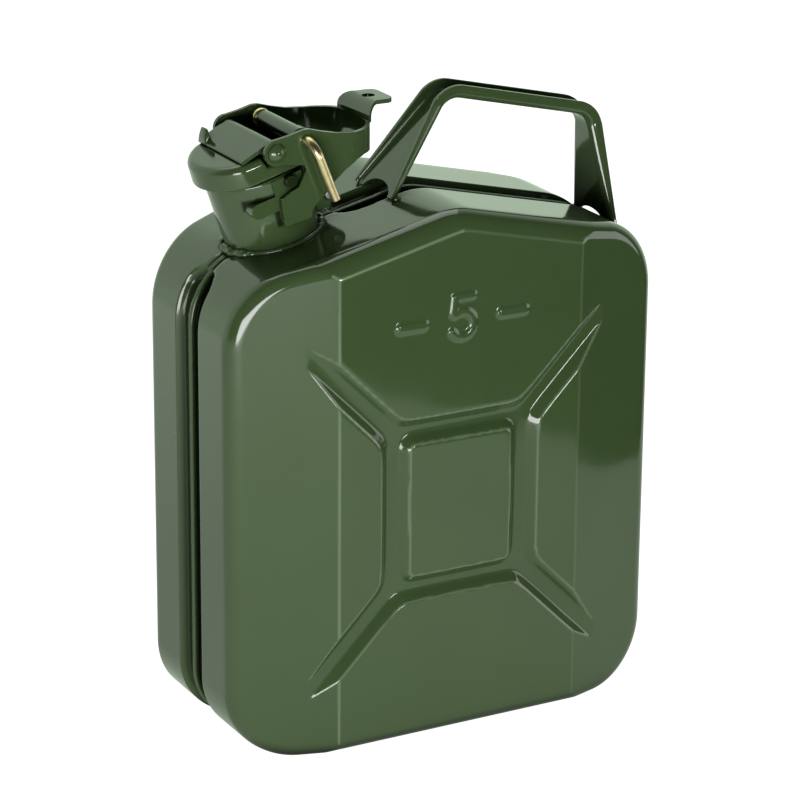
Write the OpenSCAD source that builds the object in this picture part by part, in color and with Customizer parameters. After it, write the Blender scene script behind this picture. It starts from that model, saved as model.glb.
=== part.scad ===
// Five-litre steel jerry can with a cam-lever closure, built from its separate pressings.
// Millimetres, +Z up, spout at -X, front face at -Y, origin at the middle of the base.

/* [Body] */
// Width over the narrow sides
body_w = 221; // [215:1:230]
// Depth over the two pressed faces
body_d = 112.4; // [110:0.2:120]
// Height at which the two roof slopes meet
roof_peak = 252.5; // [245:0.5:262]
// Fall of each roof slope, in degrees
roof_slope = 13.2; // [11:0.2:15]
// Radius of the two bottom corners seen from the front
corner_r = 32; // [29:0.5:35]
// Radius of the two shoulders seen from the front
shoulder_r = 36; // [33:0.5:38]
// Radius of the edge between the sides and a face
edge_r = 6.5; // [5.5:0.5:8]
// Fall of a face per millimetre beside its flat middle
side_fall = 0.3; // [0.28:0.01:0.33]
// Fall of a face per millimetre above and below its flat middle
bevel_fall = 0.33; // [0.25:0.01:0.36]
// Half the width of the flat middle of a face
face_half_w = 62.4; // [58:0.2:66]
// Width of the bevel above the flat middle
face_bevel = 9; // [7:0.5:11]
// Width of the bevel below the flat middle
foot_bevel = 5; // [3:0.5:7]
// Sheet thickness
sheet_t = 1; // [0.8:0.1:1.2]

/* [Swage] */
// Height of the middle of the cross
swage_z = 113.8; // [108:0.2:120]
// Half the width of the sunk frame
frame_half_w = 38.5; // [36:0.5:42]
// Half the height of the sunk frame
frame_half_h = 42.5; // [40:0.5:46]
// Half the width of the raised middle pad
pad_half_w = 28; // [25:0.5:30]
// Half the height of the raised middle pad
pad_half_h = 33.5; // [30:0.5:35]
// Corner radius of frame and pad
pad_r = 7; // [5:0.5:8]
// Half the width of each diagonal arm
arm_half_w = 4.6; // [3:0.2:5.5]
// Reach of the arms from the middle, measured sideways
arm_reach = 79; // [74:0.5:82]
// Depth of the cross below the face
swage_depth = 4.2; // [3:0.2:4.6]

/* [Seam] */
// Half the width of the groove that the seam lies in
groove_half_w = 11; // [9:0.5:12]
// Depth of the groove
groove_depth = 5.5; // [4:0.5:6]
// Height of the two upright lips in the groove
lip_h = 3.2; // [2.5:0.1:3.4]
// Width of the weld between the lips
seam_w = 1.2; // [0.8:0.1:1.6]
// Distance of the closed stretch round the neck from the spout side
stretch_inset = 11.5; // [10:0.5:13]
// Reach of the closed stretch from the neck's middle towards the handle
stretch_reach = 29.5; // [28:0.5:31]

/* [Handle] */
// Width of the strap at its feet
handle_w = 36; // [33:0.5:38]
// Width of the strap at the grip
grip_w = 16; // [14:0.5:20]
// Thickness of the strap
strap_t = 1.6; // [1.4:0.1:2]
// Height of its turned-out edges
flange_h = 4.8; // [4:0.2:6]
// Height of the turned-out edges at the feet
foot_flange = 1.6; // [1:0.2:2.4]
// Distance of the left foot from the neck's middle
foot_from_neck = 54.5; // [53:0.5:57]
// Distance of the left bend from the neck's middle
bend_from_neck = 87.5; // [85:0.5:90]
// Distance of the right foot from the side of the can
foot_inset = 9; // [8:0.5:11]
// Distance of the right bend from the side of the can
bend_inset = 16.5; // [14.5:0.5:18.5]
// Clear height of the grip above the roof slope
grip_gap = 43; // [40:0.5:46]
// Inside radius of the two bends
bend_r = 9; // [7:0.5:11]
// Half the width of the arch in each foot, over the groove
arch_r = 11.5; // [10:0.5:12.5]
// Height of the arch in each foot
arch_h = 6; // [5:0.5:8]

/* [Neck] */
// Distance of the neck's middle from the spout side, on the roof
neck_inset = 43; // [41.5:0.5:44.5]
// Lean of the neck towards the spout side, in degrees
neck_lean = 16; // [14:0.5:17]
// Outside radius of the neck at its foot
neck_foot_r = 21.8; // [20.5:0.1:22.2]
// Outside radius of the neck at its mouth
neck_top_r = 23.4; // [22.6:0.1:23.6]
// Wall thickness of the neck
neck_t = 1.6; // [1.2:0.1:2.2]
// Length of the neck above the roof
neck_h = 34; // [32:0.5:34.5]
// Length of the neck inside the can
neck_tail = 7; // [5:0.5:9]
// Radius of the opening in the mouth of the neck
mouth_r = 17.5; // [16:0.1:18.5]
// Radius of the weld bead round the foot
bead_r = 2; // [1.5:0.1:2.4]
// Outside radius of the breather tube
vent_r = 3.5; // [3:0.1:4]
// Length of the breather tube under the roof
vent_run = 45; // [35:1:50]

/* [Cap] */
// Radius of the cap
cap_r = 28; // [27.4:0.1:28.4]
// Height of the cap
cap_h = 10.6; // [10:0.1:11]
// Radius of the cap's rounded top edge
cap_edge_r = 3.2; // [2.6:0.1:4]
// Gap between the mouth of the neck and the cap
cap_gap = 0.6; // [0.5:0.1:0.9]
// Half the distance between the flats beside the lever
cap_flat_y = 23.5; // [23.2:0.1:23.7]
// Thickness of the gasket
gasket_t = 4; // [3.4:0.1:4.2]
// Room between the gasket and the mouth of the neck
gasket_gap = 0.4; // [0.35:0.05:0.5]
// Height of the lowered right half of the cap
deck_h = 6.3; // [6:0.1:6.4]

/* [Lever] */
// Sideways place of the lever's pivot on the cap
pivot_lat = 2.2; // [1.8:0.1:2.8]
// Height of the pivot above the neck's mouth, along the neck
pivot_along = 11.7; // [11.3:0.1:12.2]
// Radius of the pivot rivet
rivet_r = 3; // [2.6:0.1:3.2]
// Radius of the rivet's domed heads
rivet_head_r = 4.3; // [4:0.1:4.6]
// Radius of the rolled barrel round the rivet
barrel_r = 4.4; // [4.3:0.1:4.6]
// Half the distance between the lever's cheeks, inside
cheek_in = 24.2; // [24.1:0.1:24.6]
// Thickness of the lever
lever_t = 2; // [1.8:0.1:2.3]
// Length of the lever from pivot to end
lever_len = 53.5; // [52:0.5:55]
// Radius of the lever's bend in plan
lever_bend = 18; // [15:0.5:20]
// Half the width of the thumb tab's tip
tab_half_w = 10; // [9:0.5:11]
// Radius of the hole in the thumb tab
tab_hole_r = 3; // [2.5:0.1:3.4]
// Radius of the catch pins on the neck
catch_r = 2.8; // [2.5:0.1:3]
// Room between a claw and its catch pin
claw_gap = 0.7; // [0.6:0.1:0.9]
// Outside radius of the sleeve on the locking pin
tube_r = 4; // [3.6:0.1:4.2]
// Length of the sleeve behind the can's middle plane, up to the wire's curl
tube_back = 15; // [12:0.5:17]
// Length of the sleeve in front of that plane
tube_front = 20.5; // [16:0.5:22]
// Radius of the locking pin's wire
wire_r = 2.1; // [1.8:0.1:2.3]
// Length of the locking pin's front leg
wire_leg = 29; // [27:0.5:31]
// Radius of the bend between the wire and its front leg
wire_bend = 7.4; // [6.8:0.1:7.8]
// Lean of the front leg from upright, in degrees
wire_lean = 22; // [18:1:26]

/* [Hinge] */
// Sideways place of the cap's hinge, along the neck's foot
hinge_lat = 28; // [27.6:0.1:29]
// Height of the hinge above the roof, along the neck
hinge_along = 9.5; // [9:0.1:10.5]
// Radius of the hinge pin
hinge_pin_r = 2; // [1.8:0.1:2.2]
// Radius of the hinge knuckles
knuckle_r = 4; // [3.7:0.1:4.2]
// Half the width of the hinge arm
arm_y = 6; // [5:0.5:7]

/* [Fits] */
// Radial room of a turning fit
run_gap = 0.05; // [0.03:0.01:0.08]
// Side room between pieces that turn past each other
side_gap = 0.4; // [0.35:0.05:0.45]
// Degrees the cap turns for each degree of the lever
cap_ratio = 0.5; // [0.4:0.05:0.55]

/* [Hidden] */
$fn = 48;
paint = "#4b5f3d";
wide = body_w + body_d;

// Places along the width
neck_x = neck_inset - body_w / 2;
stretch_left = stretch_inset - body_w / 2;
stretch_right = neck_x + stretch_reach;
foot_left = neck_x + foot_from_neck;
bend_left = neck_x + bend_from_neck;
foot_right = body_w / 2 - foot_inset;
bend_right = body_w / 2 - bend_inset;

// Outline of the can seen from the front, made of five arcs on fixed centres
bx = body_w / 2 - corner_r;
shoulder_x = body_w / 2 - shoulder_r;
function roof(x) = roof_peak - tan(roof_slope) * abs(x);
function roof_centre(x) = [x, roof(x) - shoulder_r / cos(roof_slope)];
function arc(c, r, a0, a1, n = 8) =
    [for (i = [0:n]) let (a = a0 + (a1 - a0) * i / n) c + r * [cos(a), sin(a)]];
function outline(d) = let (r = corner_r - d, s = shoulder_r - d) concat(
    arc([-bx, corner_r], r, 180, 270),
    arc([bx, corner_r], r, 270, 360),
    arc(roof_centre(shoulder_x), s, 0, 90 - roof_slope),
    arc(roof_centre(0), s, 90 - roof_slope, 90 + roof_slope, 2),
    arc(roof_centre(-shoulder_x), s, 90 + roof_slope, 180));
function face(t) = let (low = foot_bevel + t, e = face_bevel + t) [[-face_half_w, low], [face_half_w, low],
    [face_half_w, roof(face_half_w) - e], [0, roof_peak - e], [-face_half_w, roof(face_half_w) - e]];
function corner_z(x) = let (past = abs(x) - shoulder_x)
    roof_centre(shoulder_x)[1] + sqrt(shoulder_r * shoulder_r - past * past);
function box_arc(w, h, r) = concat(arc([-w + r, -h + r], r, 180, 270), arc([w - r, -h + r], r, 270, 360),
    arc([w - r, h - r], r, 0, 90), arc([-w + r, h - r], r, 90, 180));

// Distance of the face from the middle plane: a flat middle that falls away on all four sides
face_y = body_d / 2;
function front_y(p) = face_y - max(0, side_fall * (abs(p[0]) - face_half_w),
    bevel_fall * (face_bevel - (roof(p[0]) - p[1])), bevel_fall * (foot_bevel - p[1]));
// One ring of the rounded edge, on side s, at a degrees from the narrow side, t below the skin
function ring(s, a, t) = [for (p = outline(edge_r * (1 - cos(a)) + t))
    [p[0], s * (front_y(p) - edge_r * (1 - sin(a)) - t), p[1]]];
function rings(t) = concat([for (i = [90:-18:0]) ring(-1, i, t)], [for (i = [0:18:90]) ring(1, i, t)]);

// Neck frame, and the pivots in the row's own axes
neck_base = [neck_x, roof(neck_x)];
function neck_point(lat, along) = neck_base + lat * [cos(neck_lean), sin(neck_lean)]
    + along * [-sin(neck_lean), cos(neck_lean)];
pivot = neck_point(pivot_lat, neck_h + pivot_along);
hinge = neck_point(hinge_lat, hinge_along);
tube_at = pivot + [14.5, 4.4];
catch_at = pivot + [7.2, -13.6];
cap_low = neck_h + cap_gap;
cheek_out = cheek_in + lever_t;
wire_y = cheek_out + wire_bend + run_gap;

// A point of the can, seen from the lever when the lever is open by a degrees
function turn(p, a) = [p[0] * cos(a) - p[1] * sin(a), p[0] * sin(a) + p[1] * cos(a)];
function seen_by_cap(p, a) = hinge + turn(p - hinge, a * cap_ratio);
function seen_by_lever(p, a) = pivot + turn(seen_by_cap(p, a) - pivot, -a);

module slab(y0, y1) { translate([0, y1, 0]) rotate([90, 0, 0]) linear_extrude(y1 - y0) children(); }
module both_slabs(y0, y1) {
    slab(y0, y1) children();
    slab(-y1, -y0) children();
}
module both_sides() {
    children();
    mirror([0, 1, 0]) children();
}
module rod(r, y0, y1) { translate([0, y1, 0]) rotate([90, 0, 0]) cylinder(r = r, h = y1 - y0); }
module at(p) { translate([p[0], 0, p[1]]) children(); }
module on_neck() { at(neck_base) rotate([0, -neck_lean, 0]) children(); }

// Closed skin through a list of rings with the same number of points
module ring_skin(list) {
    n = len(list[0]);
    last = (len(list) - 1) * n;
    polyhedron([for (r = list, p = r) p], concat(
        [[for (i = [0:n - 1]) i]],
        [for (k = [0:len(list) - 2], i = [0:n - 1]) let (j = (i + 1) % n)
            [k * n + i, (k + 1) * n + i, (k + 1) * n + j, k * n + j]],
        [[for (i = [n - 1:-1:0]) last + i]]));
}
// Smooth convex body, drawn in by t
module body_form(t) {
    hull() {
        ring_skin(rings(t));
        slab(-face_y + t, face_y - t) polygon(face(t));
    }
}
// The groove stops short of the neck on both sides
stretch_low = corner_z(stretch_left) - 2 * (groove_depth + sheet_t);
module closed_stretch(t) {
    slab(-wide, wide) translate([stretch_left + t, stretch_low])
        square([stretch_right - stretch_left - 2 * t, wide]);
}
module groove(t) {
    difference() {
        slab(-groove_half_w - t, groove_half_w + t) difference() {
            polygon(outline(-5));
            polygon(outline(groove_depth + t));
        }
        closed_stretch(t);
    }
}
// The four arms run outwards from the corners of the sunk frame
arm_start = (frame_half_w + pad_half_w) / 2;
module swage_plan(t) {
    translate([0, swage_z]) {
        difference() {
            polygon(box_arc(frame_half_w + t, frame_half_h + t, pad_r));
            polygon(box_arc(pad_half_w - t, pad_half_h - t, pad_r - t));
        }
        for (a = [45, 135, 225, 315]) translate([0, sign(sin(a)) * (frame_half_h - frame_half_w)]) rotate(a)
            translate([arm_start * sqrt(2), -arm_half_w - t])
                square([(arm_reach - arm_start) * sqrt(2), 2 * (arm_half_w + t)]);
    }
}
// The pressed form of sheet surface t below the outer skin
module pressed(t) {
    difference() {
        body_form(t);
        groove(t);
        both_slabs(face_y - swage_depth - t, face_y + 1) swage_plan(t);
    }
}
module neck_form(r_add, z0, z1) {
    grow = (neck_top_r - neck_foot_r) / neck_h;
    translate([0, 0, z0])
        cylinder(r1 = neck_foot_r + grow * z0 + r_add, r2 = neck_foot_r + grow * z1 + r_add, h = z1 - z0);
}
// Room for the neck in everything that is welded to it
hole_low = -30;
module neck_hole() { on_neck() neck_form(run_gap, hole_low, neck_h + 10); }
// Half of the can on the -Y side, with its upright lip in the groove
module half_shell() {
    difference() {
        intersection() {
            pressed(0);
            slab(-wide, -seam_w / 2) translate([-wide, -wide]) square(2 * wide);
        }
        pressed(sheet_t);
        neck_hole();
    }
    difference() {
        slab(-seam_w / 2 - sheet_t, -seam_w / 2) difference() {
            polygon(outline(groove_depth - lip_h));
            polygon(outline(groove_depth + sheet_t));
        }
        closed_stretch(0);
    }
}
module front_shell() { color(paint) half_shell(); }
module rear_shell() { color(paint) mirror([0, 1, 0]) half_shell(); }
// Weld between the halves: a bead between the lips, and the closed stretch round the neck
bead_below_lip = 0.4;
module seam_weld() {
    color(paint) {
        difference() {
            slab(-seam_w / 2, seam_w / 2) difference() {
                polygon(outline(groove_depth - lip_h + bead_below_lip));
                polygon(outline(groove_depth + sheet_t));
            }
            closed_stretch(0);
        }
        difference() {
            intersection() {
                pressed(0);
                slab(-seam_w / 2, seam_w / 2) translate([-wide, -wide]) square(2 * wide);
            }
            pressed(sheet_t);
            neck_hole();
        }
    }
}

// Strap path of the handle: foot, bend, bend, foot, shifted outwards by d
function unit(v) = v / norm(v);
function left_of(v) = [-v[1], v[0]];
grip_z = roof(bend_left) + grip_gap;
path = [[foot_left, roof(foot_left)], [bend_left, grip_z],
    [bend_right, grip_z - tan(roof_slope) * (bend_right - bend_left)], [foot_right, corner_z(foot_right)]];
function bend_centre(i) = let (u = unit(path[i] - path[i - 1]), v = unit(path[i + 1] - path[i]),
    h = acos(u * v) / 2) path[i] + bend_r / cos(h) * unit(v - u);
function angle(v) = atan2(v[1], v[0]);
function strap(d, foot_d) = let (u = [for (i = [0:2]) left_of(unit(path[i + 1] - path[i]))]) concat(
    [path[0] + foot_d * u[0]],
    arc(bend_centre(1), bend_r + d, angle(u[0]), angle(u[1])),
    arc(bend_centre(2), bend_r + d, angle(u[1]), angle(u[2])),
    [path[3] + foot_d * u[2]]);
function reversed(list) = [for (i = [len(list) - 1:-1:0]) list[i]];
module strap_band(d0, d1, foot_d) { polygon(concat(strap(d0, d0), reversed(strap(d1, foot_d)))); }
module foot_arch(i, other) {
    at(path[i]) rotate([0, 180 - angle(path[other] - path[i]), 0]) scale([arch_h / arch_r, 1, 1])
        cylinder(r = arch_r, h = 2 * arch_r, center = true);
}
// Room of the handle, drawn in by t: broad at a foot and narrow from the bend above it
module leg_room(foot, bend, x0, x1, t) {
    w = [handle_w / 2 - t, grip_w / 2 - t];
    z = [0, path[foot][1], path[bend][1] - bend_r / 2, wide];
    translate([x0, 0, 0]) rotate([90, 0, 90]) linear_extrude(x1 - x0) polygon([[-w[0], z[0]], [w[0], z[0]],
        [w[0], z[1]], [w[1], z[2]], [w[1], z[3]], [-w[1], z[3]], [-w[1], z[2]], [-w[0], z[1]]]);
}
module handle_room(t) {
    leg_room(0, 1, -wide, bend_left, t);
    leg_room(3, 2, bend_left, wide, t);
}
module handle() {
    color(paint) difference() {
        intersection() {
            union() {
                slab(-handle_w, handle_w) strap_band(0, strap_t, strap_t);
                difference() {
                    slab(-handle_w, handle_w) strap_band(0, flange_h + strap_t, foot_flange + strap_t);
                    handle_room(strap_t);
                }
            }
            handle_room(0);
        }
        foot_arch(0, 1);
        foot_arch(3, 2);
        slab(-wide, wide) polygon(outline(0));
    }
}
module handle_welds() {
    foot_bead_r = 1.8;
    bead_in = arch_r + 0.5;
    bead_out = handle_w / 2 - strap_t - 1;
    color(paint) difference() {
        for (f = [path[0], path[3]]) at(f) both_sides() rod(foot_bead_r, bead_in, bead_out);
        slab(-wide, wide) polygon(outline(0));
        slab(-wide, wide) strap_band(0, strap_t, strap_t);
    }
}

// Neck, with a rim turned in at its mouth
module neck() {
    color(paint) on_neck() difference() {
        neck_form(0, -neck_tail, neck_h);
        neck_form(-neck_t, -neck_tail - 1, neck_h - neck_t);
        cylinder(r = mouth_r, h = neck_h + 1);
    }
}
module neck_weld() {
    color(paint) difference() {
        at(neck_base) rotate([0, -roof_slope, 0]) rotate_extrude()
            translate([neck_foot_r, 0]) circle(bead_r);
        neck_hole();
        slab(-wide, wide) polygon(outline(0));
    }
}
// Flat plates touching the neck's two sides, each with a finger towards the spout side
plate_out = cheek_in - side_gap;
plate_from = 13;
plate_lat = -3;
plate_w = 15;
plate_deep = 6;
plate_drop = 1;
finger_r = 3.5;
finger_len = 10;
finger_at = [-12.5, neck_h - 11.5];
module catch_plates() {
    color(paint) difference() {
        on_neck() both_sides() translate([0, plate_out - plate_deep, 0]) {
            translate([plate_lat, 0, plate_from])
                cube([plate_w, plate_deep, neck_h - plate_drop - plate_from]);
            translate([finger_at[0], 0, finger_at[1] - finger_r])
                cube([finger_len, plate_deep, 2 * finger_r]);
            at(finger_at) rod(finger_r, 0, plate_deep);
        }
        neck_hole();
        at(catch_at) rod(catch_r, -wide, wide);
    }
}
module catch_pins() {
    color(paint) difference() {
        at(catch_at) rod(catch_r, -cheek_out - side_gap, cheek_out + side_gap);
        neck_hole();
    }
}
ear_t = 2;
ear_in = arm_y + side_gap;
module hinge_bracket() {
    ear_low = 4;
    color(paint) difference() {
        on_neck() both_sides() {
            translate([0, ear_in, ear_low]) cube([hinge_lat, ear_t, 2 * (hinge_along - ear_low)]);
            at([hinge_lat, hinge_along]) rod(knuckle_r, ear_in, ear_in + ear_t);
        }
        neck_hole();
        at(hinge) rod(hinge_pin_r, -wide, wide);
    }
}
module hinge_pin() {
    reach = ear_in + ear_t + 1;
    color("silver") at(hinge) rod(hinge_pin_r, -reach, reach);
}
// Breather tube beside the wall of the neck, turned along under the roof
vent_t = 0.8;
vent_bend = 9;
vent_low = -neck_tail - 6;
vent_top = 24;
module vent_tube() {
    tail_r = neck_foot_r - neck_tail * (neck_top_r - neck_foot_r) / neck_h - neck_t;
    color(paint) on_neck() translate([tail_r - vent_r - run_gap, 0, 0]) difference() {
        vent_path(vent_r, 0);
        vent_path(vent_r - vent_t, 1);
    }
}
module vent_path(r, past) {
    translate([0, 0, vent_low]) cylinder(r = r, h = vent_top - vent_low + past);
    translate([vent_bend, 0, vent_low]) rotate([90, 0, 0]) rotate([0, 0, 180]) rotate_extrude(angle = 90)
        translate([vent_bend, 0]) circle(r);
    translate([vent_bend, 0, vent_low - vent_bend]) rotate([0, 90, 0]) cylinder(r = r, h = vent_run + past);
}

// Cap: a shallow pressed cup with a rounded top edge, flats beside the lever and a low deck under it
trough_gap = 0.4;
flat_from = -13;
gasket_r = 21.6;
gasket_low = neck_h + gasket_gap;
arm_from = 23;
module cap_profile(r, h, e) {
    rotate_extrude() polygon(concat([[0, 0], [r, 0]], arc([r - e, h - e], e, 0, 90), [[0, h]]));
}
module cap() {
    color(paint) difference() {
        on_neck() translate([0, 0, cap_low]) difference() {
            cap_profile(cap_r, cap_h, cap_edge_r);
            both_sides() translate([flat_from, cap_flat_y, -1]) cube(wide);
            translate([pivot_lat - barrel_r - trough_gap, -wide, deck_h]) cube([wide, 2 * wide, wide]);
            translate([arm_from, -arm_y, -1]) cube([wide, 2 * arm_y, wide]);
        }
        on_neck() translate([0, 0, gasket_low]) cylinder(r = gasket_r, h = gasket_t);
    }
}
module cap_gasket() {
    color("#1a1a1a") on_neck() translate([0, 0, gasket_low]) difference() {
        cylinder(r = gasket_r, h = gasket_t);
        translate([0, 0, -1]) cylinder(r = mouth_r, h = gasket_t + 2);
    }
}
// Plate on the cap, rolled round the rivet at its right edge
module cap_bridge() {
    plate_t = 1.8;
    plate_left = 13.5;
    ear = [plate_t, 8, 5.5];
    top = cap_low + cap_h;
    half_w = cap_flat_y - 1.5;
    color(paint) difference() {
        union() {
            on_neck() translate([-plate_left, -half_w, top]) {
                cube([plate_left + pivot_lat - (rivet_r + barrel_r) / 2, 2 * half_w, plate_t]);
                translate([0, 2 * half_w - ear[1], 0]) cube(ear);
            }
            at(pivot) rod(barrel_r, -half_w, half_w);
        }
        at(pivot) rod(rivet_r, -wide, wide);
    }
}
module cap_hinge_arm() {
    arm_t = 2.2;
    arm_top = cap_low + deck_h - 0.5;
    upright = hinge_lat - arm_t / 2;
    color(paint) difference() {
        on_neck() {
            translate([arm_from, -arm_y, arm_top - arm_t])
                cube([upright + arm_t - arm_from, 2 * arm_y, arm_t]);
            translate([upright, -arm_y, hinge_along]) cube([arm_t, 2 * arm_y, arm_top - hinge_along]);
            at([hinge_lat, hinge_along]) rod(knuckle_r, -arm_y, arm_y);
        }
        at(hinge) rod(hinge_pin_r + run_gap, -wide, wide);
    }
}
module pivot_rivet() {
    dome = 3;
    color(paint) at(pivot) {
        rod(rivet_r, -cheek_out - side_gap, cheek_out + side_gap);
        both_sides() translate([0, cheek_out + side_gap, 0]) rotate([-90, 0, 0]) rotate_extrude()
            polygon(concat([[0, 0]],
                arc([0, -dome], norm([rivet_head_r, dome]), atan2(dome, rivet_head_r), 90)));
    }
}

// Lever: cheek outline relative to the pivot, with the claw's cut following the catch pin's path
cheek_r = 6;
tail_top = 6;
tail_low = -6.4;
cheek_points = [[0, cheek_r], [6.3, 7.2], [12.6, 8.9], [15.8, 9.1], [22.7, 7.2], [30, 5.6], [39, 4.9],
    [46, 5.2], [lever_len, tail_top], [lever_len, tail_low], [45, tail_low], [40.4, -7.8], [34.2, -11.6],
    [27.9, -17], [22.8, -22.4], [18.2, -27], [17, -31.4], [4.2, -34], [3, -27.4], [2.2, -20.6],
    [10.9, -16.6], [14.6, -9], [13.4, -7], [2.8, -5.8]];
module cheek_outline() {
    difference() {
        union() {
            circle(cheek_r);
            polygon(cheek_points);
        }
        for (a = [0:4:48]) translate(seen_by_lever(catch_at, a) - pivot) circle(catch_r + claw_gap);
    }
}
module lever_plan(w, end, r) {
    polygon(concat([[-wide, -w]], arc([end - r, -w + r], r, 270, 360), arc([end - r, w - r], r, 0, 90),
        [[-wide, w]]));
}
// Thumb tab: it rises from the end of the lever, sweeps over to a flat tip and has a hole in it
tab_len = 14;
tab_hole_at = 5.8;
tab_z = 13.6;
tab_root_half_w = 15.5;
tab_bend = 4.5;
tab_end = lever_len + tab_len;
function tab_side(d, z0) = concat([[lever_len - d, z0]],
    arc([lever_len + tab_bend, tab_z - lever_t - tab_bend], tab_bend + d, 180, 90, 6),
    [[tab_end, tab_z - lever_t + d]]);
module tab_plan() {
    tip_r = 4;
    tip = [tab_end - tip_r, tab_half_w - tip_r];
    root = [lever_len - lever_t, tab_root_half_w];
    waist = [lever_len + tab_bend, tab_half_w];
    polygon(concat([[root[0], -root[1]], [waist[0], -waist[1]]], arc([tip[0], -tip[1]], tip_r, -90, 0),
        arc(tip, tip_r, 0, 90), [waist, root]));
}
module lever() {
    tab_low = tail_top - 1;
    color(paint) at(pivot) difference() {
        union() {
            intersection() {
                slab(-wide, wide) cheek_outline();
                translate([0, 0, -wide]) linear_extrude(2 * wide) difference() {
                    lever_plan(cheek_out, lever_len, lever_bend);
                    lever_plan(cheek_in, lever_len - lever_t, lever_bend - lever_t);
                }
            }
            intersection() {
                slab(-wide, wide)
                    polygon(concat(tab_side(0, tab_low), reversed(tab_side(lever_t, tab_low))));
                translate([0, 0, -wide]) linear_extrude(2 * wide) tab_plan();
            }
        }
        rod(rivet_r + run_gap, -wide, wide);
        at(tube_at - pivot) rod(wire_r + run_gap, -wide, wide);
        translate([lever_len + tab_hole_at, 0, tab_z - lever_t - 1])
            cylinder(r = tab_hole_r, h = lever_t + 2);
    }
}
module pin_tube() {
    color(paint) at(tube_at) difference() {
        rod(tube_r, -tube_front, tube_back);
        rod(wire_r, -wide, wide);
    }
}
// Wire through both cheeks, with a curl behind the sleeve and a leg down in front
module locking_pin() {
    past = 1.2;
    curl_r = 1.7;
    color("#c8b87a") at(tube_at) rotate([0, -wire_lean, 0]) {
        rod(wire_r, -wire_y + wire_bend, cheek_out + past);
        translate([0, tube_back + 2 * curl_r, 0]) rotate([90, 0, 0]) rotate_extrude()
            translate([wire_r + 0.4, 0]) circle(curl_r);
        translate([0, -wire_y + wire_bend, -wire_bend]) rotate([90, 0, -90]) rotate_extrude(angle = 90)
            translate([wire_bend, 0]) circle(wire_r);
        translate([0, -wire_y, -wire_leg]) cylinder(r = wire_r, h = wire_leg - wire_bend);
    }
}

front_shell();
rear_shell();
seam_weld();
handle();
handle_welds();
neck();
neck_weld();
catch_plates();
catch_pins();
hinge_bracket();
hinge_pin();
vent_tube();
cap();
cap_gasket();
cap_bridge();
cap_hinge_arm();
pivot_rivet();
lever();
pin_tube();
locking_pin();
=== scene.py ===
import math
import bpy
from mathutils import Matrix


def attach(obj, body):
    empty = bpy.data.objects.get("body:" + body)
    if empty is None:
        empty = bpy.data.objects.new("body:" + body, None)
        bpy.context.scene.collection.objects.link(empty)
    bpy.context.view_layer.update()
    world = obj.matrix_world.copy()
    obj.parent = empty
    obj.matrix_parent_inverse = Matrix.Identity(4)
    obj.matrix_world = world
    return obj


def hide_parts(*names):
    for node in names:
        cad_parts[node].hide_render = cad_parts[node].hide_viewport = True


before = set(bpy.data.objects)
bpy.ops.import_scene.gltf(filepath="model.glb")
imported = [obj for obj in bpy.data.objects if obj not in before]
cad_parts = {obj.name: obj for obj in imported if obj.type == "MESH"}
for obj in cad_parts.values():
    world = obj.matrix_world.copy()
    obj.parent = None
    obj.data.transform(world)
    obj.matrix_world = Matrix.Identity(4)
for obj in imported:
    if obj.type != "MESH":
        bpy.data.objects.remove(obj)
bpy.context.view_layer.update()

from types import SimpleNamespace

import bmesh
import bpy
import numpy as np
from bpy.props import FloatProperty, FloatVectorProperty, PointerProperty
from mathutils import Matrix, Vector

bl_info = {
    "name": "Steel Jerry Can",
    "version": (1, 0, 0),
    "blender": (4, 5, 0),
    "location": "View3D > Sidebar > Jerry Can",
    "description": "Dresses a pressed steel jerry can with its cam closure and sets it in a small studio",
    "category": "Object",
}

MM = 0.001
# Point attributes of the enamel: a painted highlight along the pressed edges, and painted shade in the seam
# groove and about the catches
PAINTED_HIGHLIGHT = "painted_edge_highlight"
PAINTED_SHADE = "painted_shade"
ACROSS = np.array([0.0, 1.0, 0.0])
UP = np.array([0.0, 0.0, 1.0])


def srgb(code):
    """Linear colour of an sRGB hex value."""
    channels = [int(code[i : i + 2], 16) / 255 for i in (1, 3, 5)]
    return [c / 12.92 if c <= 0.04045 else ((c + 0.055) / 1.055) ** 2.4 for c in channels] + [1.0]


def length(name, description, millimetres):
    return FloatProperty(
        name=name, description=description, default=millimetres * MM, unit="LENGTH", precision=5
    )


def angle(name, description, degrees):
    return FloatProperty(name=name, description=description, default=math.radians(degrees), subtype="ANGLE")


def power(name, description, watts):
    return FloatProperty(name=name, description=description, default=watts, unit="POWER")


def colour(name, description, code):
    return FloatVectorProperty(
        name=name, description=description, default=srgb(code), size=4, min=0.0, max=1.0, subtype="COLOR"
    )


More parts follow.
